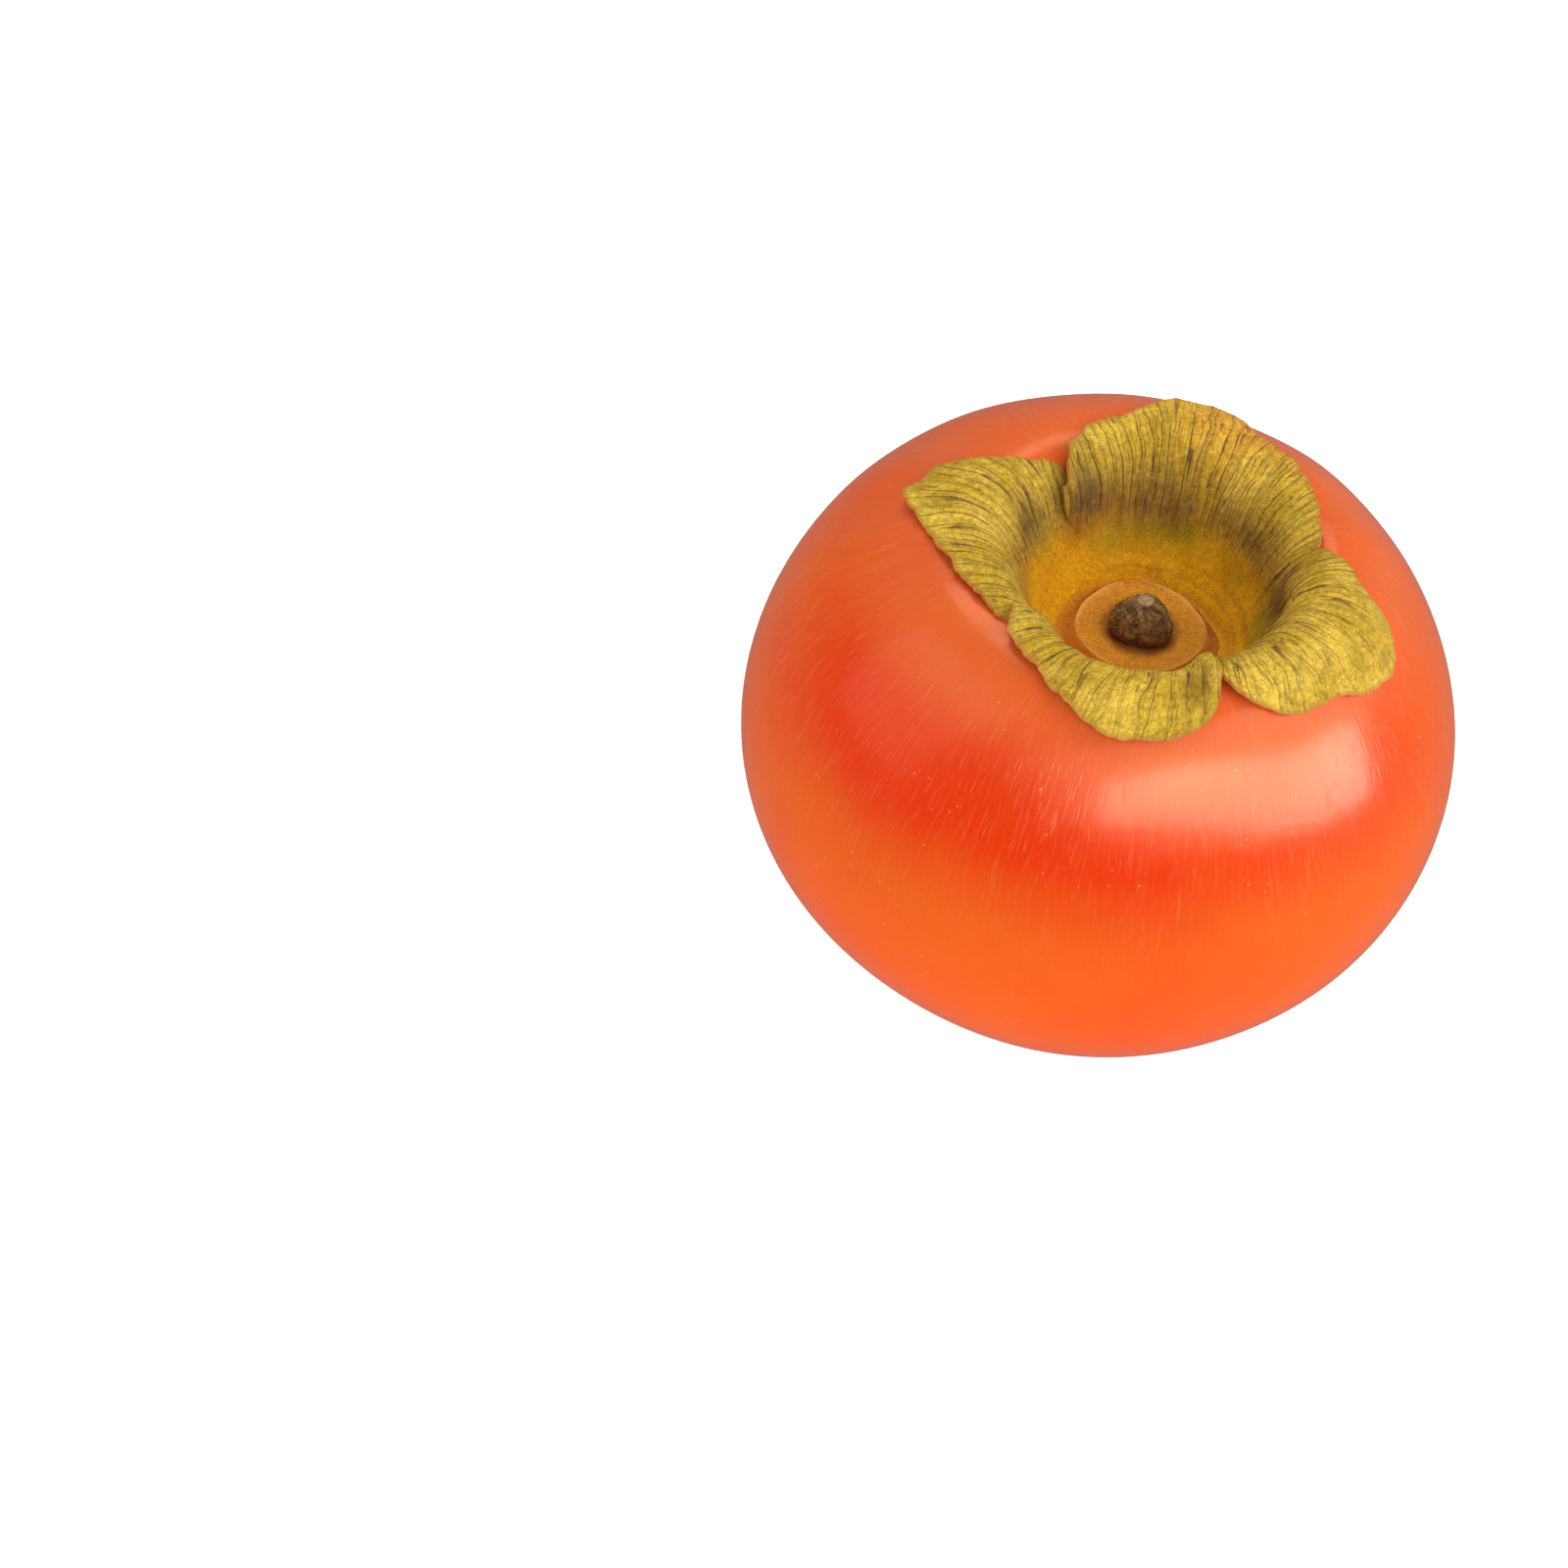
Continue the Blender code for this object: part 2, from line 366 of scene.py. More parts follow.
# Dents and pinches: degrees, millimetres out, half width in degrees, half length and depth in millimetres
POCKETS = [
    (159.0, 21.0, 8.0, 2.6, 0.8),
    (183.0, 20.5, 6.0, 2.4, 0.5),
    (139.0, 20.0, 4.5, 2.5, 0.7),
    (356.0, 19.0, 8.0, 2.6, 0.8),
    (337.0, 20.0, 6.0, 2.6, 0.4),
    (288.5, 28.5, 3.2, 1.9, 1.2),
    (300.0, 21.0, 5.0, 3.2, 0.5),
]


# Painted shade as dark spots in the pockets and folds, and olive stains: degrees, millimetres out, half width in
# degrees, half length in millimetres and strength
PAINTED_SHADE_SPOTS = [
    (92, 19.6, 36, 3.0, 1.0), (128, 20.0, 9, 3.4, 1.0), (159, 20.5, 11, 2.4, 0.9), (183, 19.5, 14, 2.2, 0.55),
    (35, 19.6, 20, 3.0, 0.9), (8, 19.0, 10, 3.0, 0.9), (350, 18.5, 12, 2.4, 0.9), (325, 20.5, 14, 2.4, 0.45),
    (300, 20.0, 8, 4.0, 0.7), (289, 28.5, 4, 2.2, 0.8), (250, 20.5, 22, 1.8, 0.35), (215, 20.0, 16, 2.0, 0.4),
    (60, 11.8, 60, 0.5, 0.45), (20, 13.6, 50, 0.5, 0.35),
]
OLIVE_STAINS = [
    (80, 16.6, 20, 2.4, 1.0), (112, 15.0, 12, 2.0, 0.6), (153, 19.5, 12, 2.4, 0.8), (356, 16.2, 16, 2.2, 1.0),
    (40, 15.5, 14, 1.6, 0.5), (200, 17.0, 20, 2.0, 0.4), (325, 16.0, 18, 2.0, 0.6),
]


def stain(angle, walked, spots):
    """Soft spots added up, from 0 to 1."""
    degrees = np.degrees(angle)
    total = 0.0
    for middle, place, wide, long, strength in spots:
        away = np.mod(degrees - middle + 180.0, 360.0) - 180.0
        total = total + strength * bump_at(away, 0.0, wide) * bump_at(walked, place, long)
    return np.clip(total, 0.0, 1.0)


def add_stains_and_shade(mesh, angle, walked):
    """Writes the painted shade in the pockets and folds, the olive stains and the pad's pale lip as attributes that
    the materials read.
    """
    rim = pad_outline(angle)
    lip = bump_at(walked, rim - 0.5, 0.45)
    # Painted shade along the folds round the pad.
    crease_shade = bump_at(walked, rim + 0.85, 0.40) * (0.45 + 0.55 * smooth(np.cos(angle - math.radians(30)), -0.6, 0.6))
    crease_shade = crease_shade + 0.5 * bump_at(walked, rim + 2.9, 0.45) * smooth(np.cos(angle - math.radians(45)), 0.0, 0.6)
    for name, values in (
        ("dark", np.clip(stain(angle, walked, PAINTED_SHADE_SPOTS) + 0.8 * crease_shade, 0.0, 1.0)),
        ("olive", stain(angle, walked, OLIVE_STAINS)),
        ("lip", lip),
    ):
        mesh.attributes.new(name, "FLOAT", "POINT").data.foreach_set("value", values.astype(np.float32))


def ragged(angle, size):
    """A slightly uneven margin, in millimetres."""
    return size * (
        0.5 * np.sin(23 * angle) + 0.5 * np.sin(37 * angle + 1.3) + 0.35 * np.sin(71 * angle + 0.4)
        + 0.25 * np.sin(113 * angle)
    )


# ---------------------------------------------------------------- materials


class Wire:
    """A node's output with arithmetic: an expression on wires adds its Math nodes."""

    def __init__(self, kit, socket):
        self.kit = kit
        self.socket = socket

    def math(self, operation, first, second):
        return self.kit.node("ShaderNodeMath", {"operation": operation}, {0: first, 1: second})

    def __add__(self, other):
        return self.math("ADD", self, other)

    def __radd__(self, other):
        return self.math("ADD", other, self)

    def __sub__(self, other):
        return self.math("SUBTRACT", self, other)

    def __rsub__(self, other):
        return self.math("SUBTRACT", other, self)

    def __mul__(self, other):
        return self.math("MULTIPLY", self, other)

    def __rmul__(self, other):
        return self.math("MULTIPLY", other, self)

    def __truediv__(self, other):
        return self.math("DIVIDE", self, other)

    def __rtruediv__(self, other):
        return self.math("DIVIDE", other, self)

    def __pow__(self, other):
        return self.math("POWER", self, other)


class Kit:
    """Builds one material's nodes."""

    def __init__(self, name):
        self.material = bpy.data.materials.new(name)
        self.material.use_nodes = True
        self.tree = self.material.node_tree
        self.tree.nodes.clear()

    def node(self, kind, settings=None, sockets=None, out=0):
        """Adds a node, sets its settings first and then its sockets, and returns one output."""
        made = self.tree.nodes.new(kind)
        for name, value in (settings or {}).items():
            if name == "stops":
                self.set_stops(made.color_ramp, value)
            else:
                setattr(made, name, value)
        for name, value in (sockets or {}).items():
            if isinstance(value, Wire):
                self.tree.links.new(value.socket, made.inputs[name])
            else:
                made.inputs[name].default_value = value
        return Wire(self, made.outputs[out]) if made.outputs else None

    def set_stops(self, ramp, stops):
        while len(ramp.elements) > 1:
            ramp.elements.remove(ramp.elements[-1])
        ramp.elements[0].position, ramp.elements[0].color = stops[0]
        for position, color in stops[1:]:
            ramp.elements.new(position).color = color

    def object_place(self):
        return self.node("ShaderNodeTexCoord", out="Object")

    def uv(self, name):
        return self.node("ShaderNodeUVMap", {"uv_map": name})

    def split(self, vector):
        made = self.node("ShaderNodeSeparateXYZ", None, {0: vector}).socket.node
        return [Wire(self, output) for output in made.outputs]

    def join(self, x, y, z):
        return self.node("ShaderNodeCombineXYZ", None, {0: x, 1: y, 2: z})

    def scaled(self, vector, factors):
        return self.node("ShaderNodeVectorMath", {"operation": "MULTIPLY"}, {0: vector, 1: factors})

    def noise(self, vector, scale, detail=3.0, roughness=0.55, distortion=0.0):
        return self.node(
            "ShaderNodeTexNoise",
            {"noise_dimensions": "3D"},
            {"Vector": vector, "Scale": scale, "Detail": detail, "Roughness": roughness, "Distortion": distortion},
        )

    def cells(self, vector, scale, feature="F1", randomness=1.0):
        return self.node(
            "ShaderNodeTexVoronoi",
            {"feature": feature},
            {"Vector": vector, "Scale": scale, "Randomness": randomness},
        )

    def ease(self, value, low, high, start=0.0, end=1.0):
        """start below low, end above high, eased between."""
        return self.node(
            "ShaderNodeMapRange",
            {"interpolation_type": "SMOOTHSTEP"},
            {"Value": value, "From Min": low, "From Max": high, "To Min": start, "To Max": end},
        )

    def fraction(self, value):
        return self.node("ShaderNodeMath", {"operation": "FRACT"}, {0: value})

    def attribute(self, name):
        return self.node("ShaderNodeAttribute", {"attribute_name": name}, out="Fac")

    def fold(self, value, middle):
        """The distance of a value from its middle."""
        return self.node("ShaderNodeMath", {"operation": "ABSOLUTE"}, {0: value - middle})

    def clamp(self, value):
        return self.node("ShaderNodeClamp", None, {0: value})

    def blend(self, factor, first, second, mode="MIX"):
        made = self.node(
            "ShaderNodeMix", {"data_type": "RGBA", "blend_type": mode}, {0: factor, 6: first, 7: second}, out=2
        )
        return made

    def bump(self, height, distance, strength=1.0, normal=None):
        sockets = {"Height": height, "Distance": distance, "Strength": strength}
        if normal is not None:
            sockets["Normal"] = normal
        return self.node("ShaderNodeBump", None, sockets)

    def surface(self, sockets):
        shader = self.node("ShaderNodeBsdfPrincipled", None, sockets)
        self.node("ShaderNodeOutputMaterial", None, {"Surface": shader})
        return self.material


def rgba(color):
    return (*color, 1.0)


def skin_material(settings):
    """Waxy skin: orange red, with a band of painted shade in deeper red below the highlight on the front of the
    shoulder, and fine pale hairs of light running from the calyx.
    """
    kit = Kit("persimmon_skin")
    place = kit.object_place()
    x, y, z = kit.split(place)
    x = x - CALYX.x
    y = y - CALYX.y
    radius = (x * x + y * y) ** 0.5 + 1e-6
    height = z / SHOULDER
    drift = kit.noise(place, 70.0, 2.0) * 3.0
    across = kit.join(x / radius * 95.0 + drift, y / radius * 95.0 + drift, radius * 190.0 + z * -190.0)
    hairs = kit.noise(across, 1.0, 2.0, 0.6)
    fine_across = kit.join(x / radius * 150.0 + drift, y / radius * 150.0 + drift, radius * 260.0 + z * -260.0)
    fine_hairs = kit.noise(fine_across, 1.0, 1.0, 0.5)
    upper = kit.ease(height, 0.45, 0.85)
    patchy = kit.ease(kit.noise(place, 95.0, 2.0), 0.35, 0.70)
    streak = kit.ease(hairs, 0.48, 0.82) * upper * (0.35 + patchy * 0.65)
    fine_streak = kit.ease(fine_hairs, 0.55, 0.85) * upper
    cloud = kit.noise(place, 38.0, 3.0, 0.6, 0.4)
    # Painted shade: a deeper red band below the highlight, on the front of the shoulder only; the cloud adds the
    # skin's own uneven red tone.
    band = kit.ease(height, 0.62, 0.80) * kit.ease(height, 0.99, 0.86)
    front = kit.ease(y, 2 * MM, -20 * MM)
    depth = kit.clamp(band * front * 0.85 + kit.ease(cloud, 0.40, 0.68) * 0.30)
    color = kit.blend(depth, rgba(settings.skin_orange), rgba(settings.skin_red))
    # Deeper, darker red towards the bottom.
    lower_deeper_red = kit.ease(height, 0.55, 0.05) * 0.55
    color = kit.blend(lower_deeper_red, color, (0.80, 0.072, 0.001, 1.0))
    near_calyx = kit.ease(radius, 34 * MM, 24 * MM) * kit.ease(height, 0.80, 0.95)
    color = kit.blend(near_calyx * 0.35, color, (0.93, 0.20, 0.070, 1.0))
    color = kit.blend(streak * 0.30, color, (0.96, 0.30, 0.10, 1.0))
    color = kit.blend(fine_streak * 0.20, color, (0.98, 0.33, 0.12, 1.0))
    dots = kit.cells(place, 900.0)
    speck = kit.ease(dots, 0.16, 0.06) * kit.ease(kit.noise(place, 160.0, 1.0), 0.50, 0.66)
    color = kit.blend(speck * 0.35, color, (0.98, 0.45, 0.16, 1.0))
    uneven_patch = kit.noise(place, 260.0, 4.0, 0.65)
    rough = 0.16 + uneven_patch * 0.10 + streak * 0.14
    grain = kit.noise(place, 1500.0, 3.0, 0.6)
    relief = streak * -0.6 + fine_streak * -0.4 + grain * 0.35 + uneven_patch * 0.5
    return kit.surface({
        "Base Color": color,
        "Roughness": rough,
        "Specular IOR Level": 0.36,
        "Specular Tint": (1.0, 0.70, 0.42, 1.0),
        "Coat Weight": 0.07,
        "Coat Roughness": 0.10,
        "Normal": kit.bump(relief, 0.05 * MM, 0.8),
    })


def calyx_material(settings, name, on_disc):
    """Dry felted leaf: green gold lobes with branching brown veins, a dark brown ring of painted shade where the cup's
    wall meets the lobes and in the pockets and folds, and a gold cup with painted shade round the stem.
    """
    kit = Kit(name)
    place = kit.object_place()
    x, y, z = kit.split(place)
    x = x - CALYX.x
    y = y - CALYX.y
    radius = (x * x + y * y) ** 0.5 + 1e-6
    leaf = kit.uv("leaf")
    around, out, _ = kit.split(leaf)
    blotch = kit.noise(place, 190.0, 4.0, 0.6, 0.3)
    broad = kit.noise(place, 75.0, 2.0, 0.5)
    warp = kit.noise(place, 210.0, 3.0, 0.5)
    lane = kit.join(around * 0.62 + warp * 1.5, out * 0.07, broad * 0.5)
    branch = kit.noise(lane, 1.0, 2.0, 0.5)
    phase = around / VEIN_GAP + branch * 2.6 + warp * 0.7
    rib = kit.fold(kit.fraction(phase), 0.5)
    fine_rib = kit.fold(kit.fraction(phase * 2.7 + warp * 1.8 + out * 0.05), 0.5)
    presence = kit.noise(kit.join(around * 0.9, out * 0.22, broad * 2.0), 1.0, 2.0, 0.5)
    net = kit.noise(place, 620.0, 2.0, 0.5, 0.6)
    big_line = kit.ease(rib, 0.085, 0.020) * kit.ease(presence, 0.34, 0.52, 0.25, 1.0)
    thin_line = kit.ease(fine_rib, 0.13, 0.03) * kit.ease(presence, 0.62, 0.44)
    net_line = kit.ease(kit.fold(net, 0.50), 0.030, 0.005)
    on_leaf = kit.ease(out, 16.0, 21.5)
    painted_shade_part = kit.attribute("dark")
    olive_part = kit.attribute("olive")
    strong = kit.ease(out, 15.0, 19.5) * kit.ease(out, 34.0, 25.0, 0.35, 1.0)
    gold = kit.blend(kit.ease(blotch, 0.35, 0.65) * 0.6, rgba(settings.cup_gold), (0.66, 0.28, 0.003, 1.0))
    gold = kit.blend(kit.clamp(olive_part * kit.ease(blotch, 0.25, 0.60, 0.5, 1.2)), gold, (0.40, 0.28, 0.001, 1.0))
    tan_share = kit.ease(out, 10.8, 8.6)
    gold = kit.blend(tan_share, gold, rgba(settings.pad_tan))
    green = kit.blend(kit.ease(blotch, 0.38, 0.66), rgba(settings.leaf_green), (0.76, 0.50, 0.055, 1.0))
    rusty = kit.ease(y, 10 * MM, 22 * MM) * kit.ease(x, -8 * MM, 8 * MM)
    green = kit.blend(rusty * 0.75, green, (0.78, 0.33, 0.025, 1.0))
    color = kit.blend(on_leaf, gold, green)
    # Painted shade: dark brown in the ring where the cup's wall meets the lobes, in the pockets and along the folds.
    uneven_patch = kit.clamp(painted_shade_part * kit.ease(blotch, 0.28, 0.62, 0.35, 1.0))
    color = kit.blend(uneven_patch * 0.92, color, (0.15, 0.068, 0.015, 1.0))
    color = kit.blend(big_line * strong * 0.88, color, rgba(settings.vein_brown))
    color = kit.blend(thin_line * strong * 0.72, color, rgba(settings.vein_brown))
    color = kit.blend(net_line * on_leaf * 0.22, color, (0.24, 0.13, 0.03, 1.0))
    grain = kit.noise(place, 4200.0, 2.0, 0.6)
    coarse = kit.noise(place, 1500.0, 3.0, 0.65)
    tone = 0.40 + kit.ease(grain, 0.30, 0.72) * 0.42 + kit.ease(coarse, 0.28, 0.74) * (0.22 + 0.28 * on_leaf) + blotch * 0.28 + 0.10
    shade = kit.join(tone, tone, tone)
    color = kit.blend(1.0, color, shade, "MULTIPLY")
    if on_disc:
        crumbs = kit.ease(kit.cells(place, 900.0), 0.24, 0.08) * kit.ease(blotch, 0.48, 0.62)
        color = kit.blend(crumbs * 0.6, color, (0.16, 0.06, 0.02, 1.0))
        color = kit.blend(kit.attribute("lip") * 0.55, color, (0.90, 0.50, 0.12, 1.0))
        # Painted shade: darker round the foot of the stem.
        stem_foot_shade = kit.ease(radius, 4.6 * MM, 3.2 * MM)
        color = kit.blend(stem_foot_shade * 0.7, color, (0.20, 0.045, 0.012, 1.0))
        height = grain * 0.22 + coarse * 0.5 + blotch * 0.8
    else:
        side = kit.uv("side")
        _, along, _ = kit.split(side)
        rim = kit.ease(along, 0.972, 0.994)
        color = kit.blend(rim * 0.65, color, (0.55, 0.23, 0.04, 1.0))
        puff = kit.ease(rib, 0.0, 0.42) * 0.9 + kit.ease(fine_rib, 0.0, 0.40) * 0.28
        height = grain * 0.16 + coarse * 0.35 + puff * on_leaf + blotch * 0.5
    return kit.surface({
        "Base Color": color,
        "Roughness": 0.72 + coarse * 0.16,
        "Specular IOR Level": 0.15,
        "Sheen Weight": 0.06,
        "Sheen Roughness": 0.45,
        "Sheen Tint": (1.0, 0.82, 0.55, 1.0),
        "Normal": kit.bump(height, settings.vein_depth, 1.0),
    })


def bark_material(settings):
    """Rough dry bark with pale cracks, and a pale round scar on the cut."""
    kit = Kit("stem_bark")
    place = kit.object_place()
    x, y, z = kit.split(place)
    lump = kit.noise(place, 700.0, 5.0, 0.7, 0.5)
    grit = kit.noise(place, 3000.0, 3.0, 0.7)
    crack = kit.ease(kit.cells(place, 620.0, "DISTANCE_TO_EDGE"), 0.09, 0.01)
    color = kit.blend(kit.ease(lump, 0.38, 0.66), rgba(settings.bark_brown), (0.33, 0.17, 0.045, 1.0))
    top = kit.ease(z, STUB_HIGH.z - 1.5 * MM, STUB_HIGH.z - 0.3 * MM)
    broken = kit.ease(kit.noise(place, 900.0, 2.0), 0.45, 0.62)
    color = kit.blend(crack * broken * (0.25 + top * 0.6), color, (0.50, 0.30, 0.09, 1.0))
    color = kit.blend(kit.ease(grit, 0.55, 0.75) * 0.45, color, (0.42, 0.28, 0.12, 1.0))
    # Painted shade: darker at the stem's foot, where it sits in the pad.
    foot = kit.ease(z, STUB_LOW.z + 0.9 * MM, STUB_LOW.z + 0.2 * MM)
    color = kit.blend(foot * 0.7, color, (0.11, 0.025, 0.010, 1.0))
    scar = kit.ease(scar_distance(kit, x, y), 0.95 * MM, 0.75 * MM) * top
    color = kit.blend(scar, color, (0.47, 0.31, 0.14, 1.0))
    height = lump * 1.0 + grit * 0.5 - crack * 0.8
    return kit.surface({
        "Base Color": color,
        "Roughness": 0.80 + grit * 0.15,
        "Specular IOR Level": 0.3,
        "Normal": kit.bump(height, 0.22 * MM, 1.0),
    })


SCAR = Vector((CALYX.x + 0.1 * MM, CALYX.y + 0.5 * MM, 0.0))


def scar_distance(kit, x, y):
    dx = x - SCAR.x
    dy = y - SCAR.y
    return (dx * dx + dy * dy) ** 0.5


def style_material():
    """The dry, nearly black remnant of the flower."""
    kit = Kit("dry_style")
    place = kit.object_place()
    lump = kit.noise(place, 2600.0, 4.0, 0.7)
    color = kit.blend(kit.ease(lump, 0.35, 0.70), (0.035, 0.018, 0.010, 1.0), (0.13, 0.065, 0.03, 1.0))
    return kit.surface({"Base Color": color, "Roughness": 0.85, "Normal": kit.bump(lump, 0.10 * MM, 1.0)})


def floor_material(settings):
    """A plain pale studio sheet with the faintest mottling."""
    kit = Kit("studio_floor")
    place = kit.object_place()
    mottle = kit.noise(place, 3.0, 3.0)
    color = kit.blend(mottle * 0.05, rgba(settings.floor_color), (0.86, 0.86, 0.87, 1.0))
    return kit.surface({
        "Base Color": color,
        "Roughness": 0.6 + mottle * 0.05,
        "Specular IOR Level": 0.2,
        "Emission Color": (1.0, 1.0, 1.0, 1.0),
        "Emission Strength": 0.72,
    })


# ---------------------------------------------------------------- operators


class PERSIMMON_OT_fruit(bpy.types.Operator):
    """Model the fruit's skin, with the calyx's hollow, the flat foot and the dimple under it"""

    bl_idname = "persimmon.fruit"
    bl_label = "Fruit"

    def execute(self, context):
        sheet = bmesh.new()
        bmesh.ops.create_uvsphere(sheet, u_segments=288, v_segments=190, radius=1.0)
        ball = places(sheet)
        angle = np.arctan2(ball[:, 1], ball[:, 0])
        turn = np.arccos(np.clip(ball[:, 2], -1.0, 1.0)) / math.pi
        distance = turn * SKIN.length
        walked = distance / MM
        flat = over_skin(angle, distance, np.zeros(len(ball)))
        side = smooth(walked, 24.0, 34.0) * smooth(walked, 96.0, 84.0)
        lobes = 0.5 - 0.5 * np.cos(4 * angle - math.radians(60))
        soft = 0.5 + 0.5 * noise_at(flat, 45.0)
        shoulder = smooth(walked, 24.0, 29.0) * smooth(walked, 48.0, 32.0)
        puckers = 0.5 + 0.5 * np.sin(11 * angle + 1.5 * np.sin(2 * angle))
        dent = side * (0.22 * lobes + 0.30 * soft) + shoulder * 0.22 * puckers + 1.15 * front_dip(angle, walked)
        move_all(sheet, over_skin(angle, distance, -dent * MM))
        fruit = finish_mesh("fruit_skin", sheet)
        settle(fruit, "fruit", skin_material(context.scene.persimmon))
        return {"FINISHED"}


class PERSIMMON_OT_disc(bpy.types.Operator):
    """Model the cupped centre of the calyx with its felted pad and folds"""

    bl_idname = "persimmon.disc"
    bl_label = "Calyx disc"

    def execute(self, context):
        sheet = bmesh.new()
        bmesh.ops.create_uvsphere(sheet, u_segments=256, v_segments=180, radius=1.0)
        ball = places(sheet)
        angle = np.arctan2(ball[:, 1], ball[:, 0])
        turn = np.arccos(np.clip(ball[:, 2], -1.0, 1.0)) / math.pi
        distance = DISC_EDGE * (1 - np.abs(1 - 2 * turn))
        walked = distance / MM
        upper = calyx_relief(angle, walked)
        flat = over_skin(angle, distance, np.zeros(len(ball)))
        upper = upper + 0.10 * noise_at(flat, 520.0) * smooth(walked, 9.3, 8.0)
        lift = np.where(turn <= 0.5 + 1e-6, upper, 0.35) * MM
        move_all(sheet, over_skin(angle, distance, lift))
        disc = finish_mesh("calyx_centre", sheet)
        disc.data.set_sharp_from_angle(angle=math.radians(60))
        add_leaf_maps(disc, angle, distance, turn)
        settle(disc, "calyx_disc", calyx_material(context.scene.persimmon, "calyx_felt", True))
        return {"FINISHED"}


def add_leaf_maps(piece, angle, distance, along):
    """Two UV maps: around and out in millimetres, and the share of the way from side to side and out."""
    mesh = piece.data
    add_stains_and_shade(mesh, angle, distance / MM)
    leaf = mesh.uv_layers.new(name="leaf")
    side = mesh.uv_layers.new(name="side")
    turns = np.mod(angle, 2 * math.pi)
    for loop in mesh.loops:
        i = loop.vertex_index
        leaf.data[loop.index].uv = (turns[i] * LEAF_SCALE, distance[i] / MM)
        side.data[loop.index].uv = (turns[i], along[i])


class PERSIMMON_OT_sepals(bpy.types.Operator):
    """Model the four sepals, each from the disc's rim up the cup's wall and out over the shoulder"""

    bl_idname = "persimmon.sepals"
    bl_label = "Sepals"

    def execute(self, context):
        settings = context.scene.persimmon
        material = calyx_material(settings, "sepal_leaf", False)
        for name, sepal in SEPALS.items():
            piece = self.make_sepal(name, sepal, settings.leaf_thickness)
            settle(piece, name, material)
        return {"FINISHED"}

    def make_sepal(self, name, sepal, thickness):
        sheet = bmesh.new()
        bmesh.ops.create_grid(sheet, x_segments=170, y_segments=120, size=1.0)
        flat = places(sheet)
        across = 0.5 - 0.5 * flat[:, 0]
        out = 0.5 + 0.5 * flat[:, 1]
        first, last = sepal["span"]
        over_first, over_last = sepal["over"]
        degrees = first + (last - first) * across
        probe = through(degrees, sepal["edge"])
        reach = smooth(9.6 + (probe - 9.6) * out, 15.0, 22.0)
        degrees = degrees - over_first * (1 - across) ** 2 * reach + over_last * across**2 * reach
        angle = np.radians(degrees)
        edge = through(degrees, sepal["edge"]) + ragged(angle, 0.16)
        walked = 9.6 + (edge - 9.6) * out
        lift = sepal_relief(angle, walked, edge, sepal)
        points = over_skin(angle, walked * MM, lift * MM)
        move_all(sheet, points)
        bmesh.ops.recalc_face_normals(sheet, faces=sheet.faces)
        sheet.normal_update()
        if sum(face.normal.z for face in sheet.faces) < 0:
            bmesh.ops.reverse_faces(sheet, faces=sheet.faces)
        piece = finish_mesh(name + "_leaf", sheet)
        add_leaf_maps(piece, angle, walked * MM, out)
        wall = piece.modifiers.new("thickness", "SOLIDIFY")
        wall.thickness = thickness
        wall.offset = -1.0
        apply_modifiers(piece)
        piece.data.shade_smooth()
        piece.data.set_sharp_from_angle(angle=math.radians(60))
        return piece


class PERSIMMON_OT_stub(bpy.types.Operator):
    """Model the cut stem: rough bark, a round scar on top and a small hole"""

    bl_idname = "persimmon.stub"
    bl_label = "Stem stub"

    def execute(self, context):
        sheet = bmesh.new()
        bmesh.ops.create_uvsphere(sheet, u_segments=160, v_segments=120, radius=1.0)
        ball = places(sheet)
        angle = np.arctan2(ball[:, 1], ball[:, 0])
        turn = np.arccos(np.clip(ball[:, 2], -1.0, 1.0)) / math.pi
        top = STUB_HIGH.z
        low = DISC_HIGH.z - 1.1 * MM
        profile = bezier(
            [(0.0, top), (1.9 * MM, top + 0.1 * MM), (2.5 * MM, top - 0.6 * MM), (3.2 * MM, top - 1.6 * MM),
             (3.9 * MM, low + 0.9 * MM), (3.3 * MM, low), (0.0, low)],
            200,
        )
        steps = np.concatenate([[0.0], np.cumsum(np.hypot(*np.diff(profile, axis=0).T))])
        reach = turn * steps[-1]
        radius = np.interp(reach, steps, profile[:, 0])
        height = np.interp(reach, steps, profile[:, 1])
        egg = 1 + 0.05 * np.cos(2 * angle + 0.4) + 0.06 * np.cos(3 * angle - math.radians(270))
        points = np.stack([radius * egg * np.cos(angle), radius * egg * np.sin(angle), height], axis=-1)
        points = points + np.array([CALYX.x, CALYX.y, 0.0])
        rough = noise_at(points, 800.0, 3.0) * 0.22 + noise_at(points, 2100.0, 5.0) * 0.09
        ridges = np.abs(noise_at(points * np.array([1.0, 1.0, 0.45]), 1300.0, 9.0))
        rough = rough - 0.20 * smooth(ridges, 0.18, 0.0)
        from_scar = np.hypot(points[:, 0] - SCAR.x, points[:, 1] - SCAR.y) / MM
        topside = smooth(height, top - 1.4 * MM, top - 0.3 * MM)
        keep = 1 - smooth(from_scar, 1.1, 0.7) * topside
        hole = np.hypot(
            np.hypot(points[:, 0] - CALYX.x + 0.45 * MM, points[:, 1] - CALYX.y + 2.4 * MM),
            points[:, 2] - top + 1.3 * MM,
        )
        out = ball / np.maximum(np.linalg.norm(ball, axis=1), 1e-9)[:, None]
        lift = rough * keep + 0.16 * smooth(from_scar, 0.95, 0.75) * topside - 0.55 * bump_at(hole / MM, 0.0, 0.5)
        points = points + out * (lift * MM)[:, None]
        points[:, 2] = np.minimum(points[:, 2], top + 0.25 * MM)
        move_all(sheet, points)
        stub = finish_mesh("stem_bark_stub", sheet)
        settle(stub, "stem_stub", bark_material(context.scene.persimmon))
        return {"FINISHED"}


